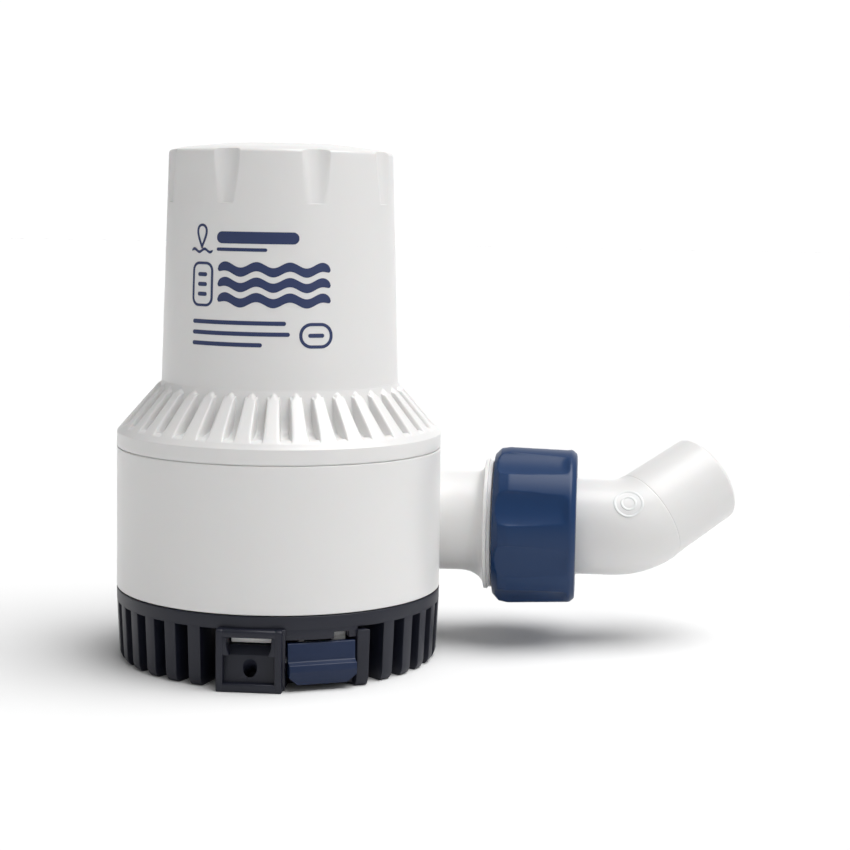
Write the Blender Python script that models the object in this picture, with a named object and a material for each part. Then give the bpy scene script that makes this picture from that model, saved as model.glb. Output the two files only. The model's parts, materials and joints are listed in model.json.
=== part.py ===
"""Submersible bilge pump: strainer base, lift-off pump body with a motor inside, and a union elbow.

Metres, +Z up. The origin is on the pump's axis, in the plane the base stands on. The outlet points along +X.
"""

import math

import bmesh
import bpy
from mathutils import Matrix, Vector

MM = 0.001
GAP = 0.3  # running or assembly gap between two touching solids, mm

# Overall sizes, mm
BODY_R = 50.8  # pump body outside radius
BASE_H = 22.2  # strainer base height, to the top of its band
JOINT_Z = 66.5  # joint line between body and motor housing
RIM_Z = 71.0  # lower edge of the shoulder
CAP_Z = 86.8  # foot of the motor cap
CAP_FOOT_R = 36.8
CAP_TOP_R = 34.5
CAP_TOP_Z = 157.0
RECESS_R = 47.8  # recess in the top of the pump body that the motor housing fits
CHAMBER_R = 42.0  # pump chamber
DRAWN_R = 50.8  # wall radius that the tabs' and latches' outlines are drawn for; they move out with the wall
CROWN = 3.0  # rise of the cap's top above its edge

# Outlet
OUT_Y = 30.0  # sideways offset of the outlet from the pump's axis
OUT_Z = 37.9
BORE_R = 12.0
NOSE_R = 19.2  # threaded nose that the nut screws on
NOSE_X = 80.0
NUT_X0, NUT_X1 = 66.6, 93.4
NUT_R = 25.8
NUT_LOBES = 9
SCALLOP_R = 21.0  # radius of each scallop in the nut's side
SCALLOP_AT = 44.9  # distance of its centre from the nut's axis
TUBE_R = 15.6  # elbow tube
SPIGOT_R = 14.6  # takes a 28.6 mm (1-1/8 in) hose
BEND_DEG = 41.0
SWIVEL_DEG = 45.0  # how far the elbow is turned towards the back at rest
BEND_X = 111.5
BEND_R = 17.0
SPIGOT_L = 32.9

# Strainer
FIN_PITCH = 10.0  # degrees
SLOT_W = 4.5
SLOT_TOP = 18.0
TAB_W = 19.4
TAB_Y = 53.0
LATCH_AZ = 24.0  # latch azimuth from the screw tab
LATCH_W = 20.4
LATCH_ROOT_W = 18.6  # width of its barrel
BAY_GAP = 0.767  # gap beside the latch's plate
BAY_LEAN = 0.218  # how fast the bay widens outwards
BAY_TOP = 15.2
LUG_R = (44.6, 46.9)  # lugs under the pump body
LUG_LOW = 11.3
LATCH_LUG = (-6.0, 8.2)  # extent of the latch's lug along the tangent
TAB_LUG = (-6.2, 6.2)
TAB_LUG_LOW = 13.6
PLATE_TOP = 19.6  # ring that the pump body rests on
PIN_R = 1.2
PIN_AT = (46.9, 9.0)  # latch pin, radius and height

# Motor
SHAFT_R = 2.3
CORE_R = 24.6
CORE_Z = (74.0, 112.0)
CAN_R = 30.5
IMPELLER_R = 27.0
FLUTES = 8
FLUTE_PHASE = 26.8
FLUTE_AT = 39.8  # radius at which each flute's trough is centred
RIBS = 36
RIB_PHASE = 1.5

MATERIALS = {
    "white_plastic": ((0.86, 0.86, 0.87), 0.35, 0.0),
    "navy_plastic": ((0.018, 0.028, 0.062), 0.4, 0.0),
    "blue_plastic": ((0.02, 0.06, 0.16), 0.35, 0.0),
    "rubber": ((0.03, 0.03, 0.03), 0.7, 0.0),
    "steel": ((0.6, 0.6, 0.62), 0.35, 1.0),
    "laminations": ((0.33, 0.33, 0.35), 0.5, 1.0),
    "copper": ((0.72, 0.36, 0.2), 0.35, 1.0),
    "brass": ((0.75, 0.6, 0.3), 0.35, 1.0),
    "bronze": ((0.5, 0.36, 0.2), 0.5, 1.0),
    "magnet": ((0.07, 0.07, 0.075), 0.65, 0.0),
    "carbon": ((0.04, 0.04, 0.045), 0.6, 0.0),
    "nylon": ((0.75, 0.74, 0.7), 0.5, 0.0),
}


def material(name):
    found = bpy.data.materials.get(name)
    if found:
        return found
    colour, rough, metal = MATERIALS[name]
    made = bpy.data.materials.new(name)
    made.use_nodes = True
    bsdf = made.node_tree.nodes["Principled BSDF"]
    bsdf.inputs["Base Color"].default_value = (*colour, 1.0)
    bsdf.inputs["Roughness"].default_value = rough
    bsdf.inputs["Metallic"].default_value = metal
    return made


def add(name, bm, mat=None):
    """Object from a bmesh in millimetres, with its faces turned outwards."""
    bmesh.ops.remove_doubles(bm, verts=bm.verts, dist=1e-5)
    bmesh.ops.recalc_face_normals(bm, faces=bm.faces)
    bmesh.ops.scale(bm, vec=(MM, MM, MM), verts=bm.verts)
    mesh = bpy.data.meshes.new(name)
    bm.to_mesh(mesh)
    bm.free()
    obj = bpy.data.objects.new(name, mesh)
    bpy.context.scene.collection.objects.link(obj)
    if mat:
        mesh.materials.append(material(mat))
    return obj


def azimuth(deg, radius, z=0.0):
    """Point at an azimuth measured from -Y towards +X."""
    a = math.radians(deg)
    return Vector((radius * math.sin(a), -radius * math.cos(a), z))


def lathe_bm(profile, segs, place=None):
    """Closed (r, z) loop turned about Z, in millimetres. place moves it."""
    bm = bmesh.new()
    rings = []
    for r, z in profile:
        if r < 1e-6:
            rings.append([bm.verts.new((0, 0, z))])
            continue
        turn = [2 * math.pi * i / segs for i in range(segs)]
        rings.append([bm.verts.new((r * math.cos(t), r * math.sin(t), z)) for t in turn])
    for a, b in zip(rings, rings[1:] + rings[:1]):
        if len(a) == 1 and len(b) == 1:
            continue
        for i in range(segs):
            j = (i + 1) % segs
            quad = [a[i % len(a)], a[j % len(a)], b[j % len(b)], b[i % len(b)]]
            corners = list(dict.fromkeys(quad))
            bm.faces.new(corners)
    if place is not None:
        bmesh.ops.transform(bm, matrix=place, verts=bm.verts)
    return bm


def lathe(name, profile, mat=None, segs=48, place=None):
    return add(name, lathe_bm(profile, segs, place), mat)


def ring(r0, r1, z0, z1):
    return [(r0, z0), (r1, z0), (r1, z1), (r0, z1)]


def disc(r, z0, z1):
    return [(0, z0), (r, z0), (r, z1), (0, z1)]


def loft_bm(stations, segs):
    """Closed solid through rings: each station is (centre, direction, radius)."""
    bm = bmesh.new()
    rings = []
    for centre, direction, r in stations:
        d = Vector(direction).normalized()
        side = Vector((0, 1, 0)) if abs(d.y) < 0.9 else Vector((0, 0, 1))
        u = side.cross(d).normalized()
        v = d.cross(u)
        turn = [2 * math.pi * i / segs for i in range(segs)]
        rings.append(
            [bm.verts.new(Vector(centre) + r * (math.cos(t) * u + math.sin(t) * v)) for t in turn]
        )
    for a, b in zip(rings, rings[1:]):
        for i in range(segs):
            j = (i + 1) % segs
            bm.faces.new([a[i], a[j], b[j], b[i]])
    bm.faces.new(list(reversed(rings[0])))
    bm.faces.new(rings[-1])
    return bm


def box_bm(lo, hi, place=None):
    bm = bmesh.new()
    bmesh.ops.create_cube(bm, size=1.0)
    size = [b - a for a, b in zip(lo, hi)]
    mid = [(a + b) / 2 for a, b in zip(lo, hi)]
    bmesh.ops.scale(bm, vec=size, verts=bm.verts)
    bmesh.ops.translate(bm, vec=mid, verts=bm.verts)
    if place is not None:
        bmesh.ops.transform(bm, matrix=place, verts=bm.verts)
    return bm


def prism_bm(points, h0, h1, place=None):
    """Polygon in local XY, drawn from h0 to h1 along local Z."""
    bm = bmesh.new()
    low = [bm.verts.new((x, y, h0)) for x, y in points]
    high = [bm.verts.new((x, y, h1)) for x, y in points]
    bm.faces.new(list(reversed(low)))
    bm.faces.new(high)
    for i in range(len(points)):
        j = (i + 1) % len(points)
        bm.faces.new([low[i], low[j], high[j], high[i]])
    if place is not None:
        bmesh.ops.transform(bm, matrix=place, verts=bm.verts)
    return bm


def joined(parts):
    """One bmesh holding several separate solids, to use as a cutter."""
    whole = bmesh.new()
    for part in parts:
        mesh = bpy.data.meshes.new("part")
        bmesh.ops.recalc_face_normals(part, faces=part.faces)
        part.to_mesh(mesh)
        part.free()
        whole.from_mesh(mesh)
        bpy.data.meshes.remove(mesh)
    return whole


def boolean(obj, bm, operation):
    """Applies one exact Boolean, and throws the tool away."""
    tool = add("tool", bm)
    tool.hide_render = True
    mod = obj.modifiers.new("b", "BOOLEAN")
    mod.operation = operation
    mod.solver = "EXACT"
    mod.object = tool
    bpy.context.view_layer.update()
    graph = bpy.context.evaluated_depsgraph_get()
    made = bpy.data.meshes.new_from_object(obj.evaluated_get(graph), depsgraph=graph)
    obj.modifiers.remove(mod)
    old, obj.data = obj.data, made
    bpy.data.meshes.remove(old)
    bpy.data.objects.remove(tool)
    made.name = obj.name


def cut(obj, *parts):
    boolean(obj, joined(parts), "DIFFERENCE")


def fuse(obj, *parts):
    for part in parts:
        boolean(obj, part, "UNION")


def polar(az):
    """Local axes at an azimuth: X outwards along the radius, Y along the tangent, Z up."""
    return Matrix.Rotation(math.radians(az - 90), 4, "Z")


def at_wall(az):
    """The same axes, moved out with the wall."""
    return polar(az) @ Matrix.Translation((BODY_R - DRAWN_R, 0, 0))


def bay_half(r):
    """Half width of a latch bay at a drawn radius."""
    return LATCH_W / 2 + BAY_GAP + (r - 50.3) * BAY_LEAN


def along_x(y=0.0, z=0.0):
    """Turns a lathe's Z into +X and puts its axis at (y, z)."""
    return Matrix.Translation((0, y, z)) @ Matrix.Rotation(math.radians(90), 4, "Y")


for obj in list(bpy.data.objects):
    bpy.data.objects.remove(obj)

# ---------------------------------------------------------------- strainer base
band_in = BODY_R - 2.6
base = lathe(
    "strainer_base",
    [
        (0, 0), (12, 0), (12.8, 1.5), (37.5, 1.5), (37.5, 0), (BODY_R - 1.6, 0), (BODY_R - 0.9, 1.0),
        (BODY_R - 0.1, 16), (BODY_R, SLOT_TOP), (BODY_R, BASE_H), (band_in, BASE_H),
        (band_in, PLATE_TOP), (37.5, PLATE_TOP), (37.5, 4.2), (0, 4.2),
    ],
    "navy_plastic",
    36,
)
for az in (0, 180):
    fuse(base, box_bm((38.5, -TAB_W / 2, 0), (TAB_Y, TAB_W / 2, SLOT_TOP + 0.6), at_wall(az)))
bay_edge = LATCH_AZ + math.degrees(math.atan2(bay_half(DRAWN_R), BODY_R))
slots = []
for k in range(RIBS):
    az = FIN_PITCH * (k + 0.5)
    near = (az % 180 + 90) % 180 - 90  # both halves of the base are alike
    if -11 < near < bay_edge:
        continue
    slots.append(box_bm((34, -SLOT_W / 2, -1), (BODY_R + 5.2, SLOT_W / 2, SLOT_TOP), polar(az)))
cut(base, *slots)
# The screw tab's front, as (radius, height): sloped seat, chute, and window onto the body's lug
seat = [(55, 2.6), (50.8, 2.6), (50.0, 10.6), (55, 11.4)]
chute = [(55, 9.9), (51.0, 9.9), (49.9, 10.8), (48.2, 13.4), (48.2, 14.0), (55, 14.0)]
window = [(55, 13.2), (44.0, 13.2), (44.0, 16.2), (55, 16.2)]
SCREW_R = 1.9
SCREW_DIP = 35.0  # screw hole's slope below level, degrees
SCREW_AT = (50.4, 6.3)
stand_up = Matrix.Rotation(math.radians(90), 4, "X")  # a prism's local Y becomes Z
bay = [(40.5, -bay_half(40.5)), (56, -bay_half(56)), (56, bay_half(56)), (40.5, bay_half(40.5))]
lug_in, lug_out = LUG_R[0] - 0.8, LUG_R[1] + 0.4
for az in (0, 180):
    at = at_wall(az)
    for outline, half in ((seat, 7.6), (chute, 6.0), (window, 6.6)):
        cut(base, prism_bm(outline, -half, half, at @ stand_up))
    cut(base, box_bm((lug_in, TAB_LUG[0] - 0.7, 15.9), (lug_out, TAB_LUG[1] + 0.7, 21), at))
    dip = Matrix.Rotation(math.radians(-90 - SCREW_DIP), 4, "Y")
    drill = Matrix.Translation((SCREW_AT[0], 0, SCREW_AT[1])) @ dip
    cut(base, lathe_bm(disc(SCREW_R, -3, 20), 20, at @ drill))
    latch = at_wall(az + LATCH_AZ)
    cut(base, prism_bm(bay, -1, BAY_TOP, latch))
    cut(base, box_bm((40.9, 3.7, 14.9), (56.5, 8.4, 17.1), latch))
    cut(base, box_bm((lug_in, LATCH_LUG[0] - 0.5, 15.0), (lug_out, LATCH_LUG[1] + 0.5, 21), latch))
    post_slot = at_wall(az + bay_edge + 6.16)
    cut(base, box_bm((34.5, -2.0, -1.2), (56.5, 2.0, SLOT_TOP - 0.1), post_slot))
pin_turn = Matrix.Translation((PIN_AT[0], 0, PIN_AT[1])) @ Matrix.Rotation(math.radians(-90), 4, "X")
pin_ends = (-LATCH_W / 2 - 0.8, LATCH_W / 2 + 1.8)
for az in (0, 180):
    hole = at_wall(az + LATCH_AZ) @ pin_turn
    cut(base, lathe_bm(disc(PIN_R + GAP, pin_ends[0] - 0.4, pin_ends[1] + 0.4), 16, hole))

# ---------------------------------------------------------------- latch levers and pins
across = Matrix.Rotation(math.radians(90), 4, "Z") @ stand_up  # a prism's local X becomes the tangent
lever_side = [
    (48.3, 14.3), (50.3, 14.3), (50.6, 8.6), (52.3, 8.0), (52.6, 6.0), (51.2, 2.0), (49.5, 2.0),
    (49.0, 6.9), (44.9, 7.2), (44.9, 10.5), (48.3, 10.8),
]
for az, tag in ((0, "front"), (180, "rear")):
    at = at_wall(az + LATCH_AZ)
    half, root = LATCH_W / 2, LATCH_ROOT_W / 2
    lever = add(f"latch_{tag}", prism_bm(lever_side, -half, half, at @ stand_up), "blue_plastic")
    for side in (-1, 1):
        inner = [
            (40, side * root), (47.6, side * root), (48.3, side * half),
            (48.3, side * (half + 3.8)), (40, side * (half + 3.8)),
        ]
        cut(lever, prism_bm(inner, 0, 16, at))
        # The lip's lower corners are cut off at a slant
        corner = [(half - 2.8, 1.0), (half - 2.8, 2.0), (half + 0.8, 5.2), (half + 1.8, 1.0)]
        corner = [(side * t, z) for t, z in corner]
        cut(lever, prism_bm(corner, 40, 56, at @ across))
    fuse(lever, box_bm((46.2, -4.0, 12.9), (49.2, 4.0, 14.1), at))  # catch
    cut(lever, lathe_bm(disc(PIN_R + GAP, -half - 1.8, half + 1.8), 16, at @ pin_turn))
    lathe(f"latch_pin_{tag}", disc(PIN_R, *pin_ends), "steel", 16, at @ pin_turn)

# ---------------------------------------------------------------- volute body with its outlet
low = BASE_H + GAP
floor_z = PLATE_TOP + GAP
body_top = JOINT_Z - 0.2
body_side = [
    (0, floor_z), (band_in - GAP, floor_z), (band_in - GAP, low), (BODY_R, low), (BODY_R - 0.2, body_top),
    (0, body_top),
]
body = lathe("volute_body", body_side, "white_plastic", 48)
pipe = [
    (22.0, 16.3, 38.8), (56.5, 16.3, 38.8), (59.5, 16.8, 38.5), (61.8, 18.0, 38.0), (63.2, 19.6, 37.9),
    (63.8, NOSE_R + 2.1, OUT_Z), (66.2, NOSE_R + 2.1, OUT_Z), (66.3, NOSE_R, OUT_Z), (69.5, NOSE_R, OUT_Z),
    (71.0, NOSE_R - 1.0, OUT_Z), (72.5, NOSE_R, OUT_Z), (75.0, NOSE_R, OUT_Z),
    (76.5, NOSE_R - 1.0, OUT_Z), (78.0, NOSE_R, OUT_Z), (NOSE_X, NOSE_R - 0.5, OUT_Z),
]
fuse(body, loft_bm([((x, OUT_Y, z), (1, 0, 0), r) for x, r, z in pipe], 32))
cut(body, lathe_bm(disc(CHAMBER_R, 23.4, 52.5), 48))
cut(body, lathe_bm(disc(14.0, 19, 24.5), 28))
cut(body, lathe_bm(disc(RECESS_R, 52.0, 70.0), 48))
cut(body, lathe_bm(disc(BORE_R, 4.0, 84.0), 28, along_x(OUT_Y, OUT_Z)))
for az in (0, 180):
    latch = at_wall(az + LATCH_AZ)
    fuse(body, box_bm((LUG_R[0], LATCH_LUG[0], LUG_LOW), (LUG_R[1], LATCH_LUG[1], 22.0), latch))
    cut(body, box_bm((44, -4.4, 12.5), (49, 4.4, 14.7), latch))  # eye for the catch
    fuse(body, box_bm((LUG_R[0], TAB_LUG[0], TAB_LUG_LOW), (LUG_R[1], TAB_LUG[1], 22.0), at_wall(az)))
screw_az = (0, 90, 180, 270)
SCREW_CIRCLE = 44.9
screw_places = [Matrix.Translation(azimuth(a, SCREW_CIRCLE)) for a in screw_az]
cut(body, *[lathe_bm(disc(1.8, 39, 54), 10, place) for place in screw_places])

# ---------------------------------------------------------------- motor housing
rim = BODY_R - 0.2
spigot = RECESS_R - GAP
house = lathe(
    "motor_housing",
    [
        (0, CAP_TOP_Z + CROWN), (16, CAP_TOP_Z + 2.7), (28, CAP_TOP_Z + 1.7),
        (33.4, CAP_TOP_Z + 0.2), (CAP_TOP_R, CAP_TOP_Z - 1.2), (CAP_FOOT_R, CAP_Z),
        (rim - 0.6, RIM_Z + 0.5), (rim, RIM_Z), (rim, JOINT_Z + 0.1), (spigot, JOINT_Z + 0.1),
        (spigot, 64.4), (spigot - 2.2, 64.4), (spigot - 2.2, 61.6), (spigot, 61.6), (spigot, 59.0),
        (43.4, 59.0), (43.4, 73.0), (33.8, 85.0), (32.6, 139.0), (31.0, 141.0),
        (30.6, CAP_TOP_Z - 3.0), (24, CAP_TOP_Z - 1.2),
        (0, CAP_TOP_Z + 0.2),
    ],
    "white_plastic",
    60,
)
cutters = []
for k in range(FLUTES):
    az = FLUTE_PHASE + 360 / FLUTES * k
    # A shallow round-sided trough, open at the top, with a rounded foot
    foot, over = CAP_TOP_Z - 15.4, CAP_TOP_Z + 8.0
    trough = [(0, foot), (5.4, foot + 0.8), (6.6, foot + 3.0), (6.9, over), (0, over)]
    cutters.append(lathe_bm(trough, 20, Matrix.Translation(azimuth(az, FLUTE_AT))))
cut(house, *cutters)
slope = math.atan2(CAP_Z - RIM_Z, rim - CAP_FOOT_R)
run = math.hypot(CAP_Z - RIM_Z, rim - CAP_FOOT_R)
cutters = []
for k in range(RIBS):
    at = polar(RIB_PHASE + 360 / RIBS * k)
    tilt = Matrix.Translation((rim, 0, RIM_Z)) @ Matrix.Rotation(slope, 4, "Y")
    cutters.append(box_bm((-run - 0.6, -1.7, -1.1), (-2.6, 1.7, 3), at @ tilt))
cut(house, *cutters)
GLAND_Z = 99.0
gland_at = Matrix.Translation((0, 0, GLAND_Z)) @ Matrix.Rotation(math.radians(-90), 4, "X")
cut(house, lathe_bm(disc(5.8, 28, 44), 24, gland_at))
gland_side = [
    (2.2, 30.9), (6.4, 30.9), (6.4, 32.2), (5.5, 32.3), (5.5, 37.2), (7.6, 37.2), (7.6, 39.6),
    (5.2, 40.4), (3.6, 48.0), (2.2, 48.0),
]
lathe("cable_gland", gland_side, "rubber", 20, gland_at)

# ---------------------------------------------------------------- seals, plate and screws
plate = lathe(
    "seal_plate",
    [
        (7, 52.3), (RECESS_R - 0.4, 52.3), (RECESS_R - 0.4, 56), (31, 56), (31, 61.5), (28, 61.5), (28, 56),
        (SHAFT_R + 0.6, 56), (SHAFT_R + 0.6, 55.0), (7, 55.0),
    ],
    "nylon",
    40,
)
cut(plate, *[lathe_bm(disc(1.8, 50, 58), 10, place) for place in screw_places])
screw = [(0, 40.2), (1.2, 40.2), (1.5, 41.0), (1.5, 56.3), (2.6, 56.3), (2.6, 57.6), (1.9, 58.3), (0, 58.3)]
for n, place in enumerate(screw_places, 1):
    lathe(f"housing_screw_{n}", screw, "steel", 16, place)
seal = [(SHAFT_R + GAP, 52.9), (6.6, 52.6), (6.6, 54.7), (SHAFT_R + GAP, 54.7)]
lathe("shaft_seal", seal, "rubber", 32)
ORING_AT, ORING_R = (RECESS_R - 1.35, 63.0), 0.85
turns = [math.pi * i / 3 for i in range(6)]
oring = [(ORING_AT[0] + ORING_R * math.cos(t), ORING_AT[1] + ORING_R * math.sin(t)) for t in turns]
lathe("housing_oring", oring, "rubber", 36)

# ---------------------------------------------------------------- motor
can = [(5.3, 61.8), (CAN_R, 61.8), (CAN_R, 138), (29, 138), (29, 63.3), (5.3, 63.3)]
lathe("motor_can", can, "steel", 36)
lathe("lower_bushing", ring(SHAFT_R + GAP, 5.0, 60.2, 66.0), "bronze", 28)
lathe("upper_bushing", ring(SHAFT_R + GAP, 5.0, 138.6, 145.7), "bronze", 28)
lathe(
    "end_bell",
    [(5.3, 138.3), (30.3, 138.3), (30.3, 141.3), (12, 141.3), (11, 146), (5.3, 146)],
    "nylon",
    32,
)
for tag, mid in (("a", 0), ("b", 180)):
    arc = [math.radians(mid - 65 + 130 * i / 8) for i in range(9)]
    outline = [(28.7 * math.cos(t), 28.7 * math.sin(t)) for t in arc]
    outline += [(25.2 * math.cos(t), 25.2 * math.sin(t)) for t in reversed(arc)]
    add(f"magnet_{tag}", prism_bm(outline, 71, 115), "magnet")
lathe(
    "motor_shaft",
    [
        (0, 24.4), (1.9, 24.4), (SHAFT_R, 24.9), (SHAFT_R, 67), (4, 68), (4, 134), (SHAFT_R, 135),
        (SHAFT_R, 148.6), (1.8, 149.2), (0, 149.2),
    ],
    "steel",
    20,
)
core = lathe("armature_core", ring(4.3, CORE_R, *CORE_Z), "laminations", 42)
POLES = 7
cut(core, *[box_bm((12.4, -2.2, 70), (26, 2.2, 116), polar(360 / POLES * k)) for k in range(POLES)])
coils = lathe("armature_windings", ring(11.0, 23.0, 67.6, 73.6), "copper", 28)
fuse(coils, *[box_bm((13, -1.8, 70), (22.6, 1.8, 116), polar(360 / POLES * k)) for k in range(POLES)])
fuse(coils, lathe_bm(ring(11.0, 23.0, 112.4, 118.6), 28))
comm_side = [(4.3, 120), (11.6, 120), (11.6, 122), (9, 122), (9, 132), (4.3, 132)]
comm = lathe("commutator", comm_side, "copper", 30)
cut(comm, *[box_bm((8.2, -0.3, 119), (13, 0.3, 133), polar(36 * (k + 0.5))) for k in range(10)])
for tag, az in (("a", 90), ("b", 270)):
    at = polar(az)
    add(f"brush_{tag}", box_bm((9.4, -2.5, 124), (16.0, 2.5, 130), at), "carbon")
    sleeve = add(f"brush_holder_{tag}", box_bm((11.0, -3.9, 122.6), (24.0, 3.9, 131.4), at), "brass")
    cut(sleeve, box_bm((10, -2.8, 123.7), (22.8, 2.8, 130.3), at))
    turns, steps, sides = 4, 8, 5
    bm = bmesh.new()
    rings = []
    for i in range(turns * steps + 1):
        t = 2 * math.pi * i / steps
        along = 16.6 + 5.6 * i / (turns * steps)
        centre = Vector((along, 1.7 * math.cos(t), 127 + 1.7 * math.sin(t)))
        out = Vector((0, math.cos(t), math.sin(t)))
        ax = Vector((1, 0, 0))
        turn = [2 * math.pi * j / sides for j in range(sides)]
        rings.append([bm.verts.new(centre + 0.3 * (math.cos(q) * out + math.sin(q) * ax)) for q in turn])
    for a, b in zip(rings, rings[1:]):
        for j in range(sides):
            k = (j + 1) % sides
            bm.faces.new([a[j], a[k], b[k], b[j]])
    bm.faces.new(list(reversed(rings[0])))
    bm.faces.new(rings[-1])
    bmesh.ops.transform(bm, matrix=at, verts=bm.verts)
    add(f"brush_spring_{tag}", bm, "steel")
lathe("noise_capacitor", disc(3.6, 141.6, 150.5), "nylon", 24, Matrix.Translation((0, -19, 0)))
for tag, az in (("positive", 60), ("negative", 300)):
    add(f"terminal_{tag}", box_bm((19, -2.4, 141.6), (19.8, 2.4, 149.0), polar(az)), "brass")

# ---------------------------------------------------------------- impeller
wheel_side = [
    (SHAFT_R + GAP, 27.2), (6.2, 27.2), (7.5, 34), (9, 41), (IMPELLER_R, 43.6), (IMPELLER_R, 45.4),
    (8, 45.4), (7, 50), (SHAFT_R + GAP, 50),
]
wheel = lathe("impeller", wheel_side, "nylon", 28)
for k in range(6):
    inner, outer = [], []
    for i in range(6):
        u = i / 5
        r = 5.2 + (IMPELLER_R - 0.4 - 5.2) * u
        sweep = math.radians(60 * k - 62 * u)
        thick = 1.1 / r
        inner.append((r * math.cos(sweep - thick), r * math.sin(sweep - thick)))
        outer.append((r * math.cos(sweep + thick), r * math.sin(sweep + thick)))
    fuse(wheel, prism_bm(inner + outer[::-1], 29.4, 44.4))
lathe("impeller_clip", ring(SHAFT_R + GAP, 5.2, 25.3, 26.8), "steel", 24)

# ---------------------------------------------------------------- union nut, seals and elbow
outlet_axis = along_x(OUT_Y, OUT_Z)
gasket = ring(BORE_R + 0.6, NOSE_R - 0.6, NOSE_X + GAP, NOSE_X + 2.2)
lathe("outlet_gasket", gasket, "rubber", 32, outlet_axis)
FLANGE = (NOSE_X + 2.5, NOSE_X + 5.5)
slip = ring(TUBE_R + 0.4, NOSE_R - 0.4, FLANGE[1] + GAP, FLANGE[1] + 2.6)
lathe("slip_ring", slip, "nylon", 32, outlet_axis)
nut_profile = [
    (NOSE_R + 0.4, NUT_X0), (23.6, NUT_X0), (NUT_R, NUT_X0 + 2.6), (NUT_R - 0.9, NUT_X1 - 2.4),
    (23.4, NUT_X1 - 0.2), (22.6, NUT_X1), (16.2, NUT_X1), (16.2, FLANGE[1] + 3.0),
    (NOSE_R + 0.1, FLANGE[1] + 3.0), (NOSE_R + 0.4, FLANGE[1] + 2.0),
]
nut = lathe("union_nut", nut_profile, "blue_plastic", 54, outlet_axis)
half = math.radians(16)
arc = [half * (i / 4 - 1) for i in range(9)]
scallop = [(SCALLOP_R * math.cos(t), SCALLOP_R * math.sin(t)) for t in arc]
scallop += [(SCALLOP_R - 4, scallop[-1][1]), (SCALLOP_R - 4, scallop[0][1])]
end = NUT_X1 - 4.0
for k in range(NUT_LOBES):
    # A scallop's local X points at the nut's axis
    a = 2 * math.pi * k / NUT_LOBES
    spin = Matrix.Rotation(-a, 4, "X") @ Matrix.Translation((0, SCALLOP_AT, 0))
    face = Matrix(((0, 0, 1, 0), (-1, 0, 0, 0), (0, -1, 0, 0), (0, 0, 0, 1)))
    cut(nut, prism_bm(scallop, NUT_X0 - 1, end, Matrix.Translation((0, OUT_Y, OUT_Z)) @ spin @ face))

bend = math.radians(BEND_DEG)
swivel = math.radians(SWIVEL_DEG)
rise = math.sin(bend)
out_dir = Vector((math.cos(bend), rise * math.sin(swivel), rise * math.cos(swivel)))
corner = Vector((BEND_X, OUT_Y, OUT_Z))
side = (out_dir - Vector((math.cos(bend), 0, 0))).normalized()  # the way the elbow leans
reach = BEND_R * math.tan(bend / 2)
hub = corner - Vector((reach, 0, 0)) + BEND_R * side


def elbow(tube, spigot, start):
    """Stations of the elbow from the flange to the hose end, for the outside or the bore."""
    x = Vector((1, 0, 0))
    made = [((start, OUT_Y, OUT_Z), x, tube), ((BEND_X - reach, OUT_Y, OUT_Z), x, tube)]
    for i in range(1, 5):
        t = bend * i / 5
        d = math.cos(t) * x + math.sin(t) * side
        made.append((hub + BEND_R * (math.sin(t) * x - math.cos(t) * side), d, tube))
    made.append((corner + reach * out_dir, out_dir, tube))
    made.append((corner + (reach + 0.8) * out_dir, out_dir, spigot))
    return made


shell = elbow(TUBE_R, SPIGOT_R, FLANGE[1])
shell = [((x, OUT_Y, OUT_Z), (1, 0, 0), NOSE_R - 0.4) for x in FLANGE] + shell
shell += [
    (corner + (SPIGOT_L - 1.6) * out_dir, out_dir, SPIGOT_R),
    (corner + (SPIGOT_L - 0.5) * out_dir, out_dir, SPIGOT_R - 0.5),
    (corner + SPIGOT_L * out_dir, out_dir, SPIGOT_R - 1.3),
]
pipe_elbow = add("outlet_elbow", loft_bm(shell, 32), "white_plastic")
hollow = elbow(BORE_R, BORE_R - 0.4, FLANGE[0] - 2)
hollow.append((corner + (SPIGOT_L + 2) * out_dir, out_dir, BORE_R - 0.4))
cut(pipe_elbow, loft_bm(hollow, 28))

# ---------------------------------------------------------------- origins on the joint axes, and shading
origins = {
    "latch_front": at_wall(LATCH_AZ) @ Vector((PIN_AT[0], 0, PIN_AT[1])),
    "latch_rear": at_wall(180 + LATCH_AZ) @ Vector((PIN_AT[0], 0, PIN_AT[1])),
    "union_nut": Vector((NUT_X0, OUT_Y, OUT_Z)),
    "slip_ring": Vector((NUT_X0, OUT_Y, OUT_Z)),
    "outlet_elbow": Vector((FLANGE[0], OUT_Y, OUT_Z)),
}
for obj in bpy.data.objects:
    obj.data.shade_smooth()
    obj.data.set_sharp_from_angle(angle=math.radians(32))
    if obj.name in origins:
        shift = origins[obj.name] * MM
        obj.data.transform(Matrix.Translation(-shift))
        obj.location = shift
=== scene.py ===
"""Looks of the bilge pump: detailed meshes, materials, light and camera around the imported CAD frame.

Metres and +Z up in the frame. Helper functions take millimetres, in the same axes, unless they say otherwise.
"""

import json
import math

import bmesh
import bpy
import numpy as np
from mathutils import Matrix, Vector
from mathutils.bvhtree import BVHTree


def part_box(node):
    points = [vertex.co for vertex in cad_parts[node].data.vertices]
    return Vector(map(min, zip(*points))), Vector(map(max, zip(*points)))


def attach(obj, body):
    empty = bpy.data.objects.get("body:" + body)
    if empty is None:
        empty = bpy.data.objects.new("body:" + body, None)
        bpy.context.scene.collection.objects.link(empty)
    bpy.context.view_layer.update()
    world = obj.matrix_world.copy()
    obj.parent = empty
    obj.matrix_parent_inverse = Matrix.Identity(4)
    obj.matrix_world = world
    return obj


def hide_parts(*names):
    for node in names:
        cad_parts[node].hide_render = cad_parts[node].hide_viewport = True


MM = 0.001
TAU = 2 * math.pi

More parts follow.
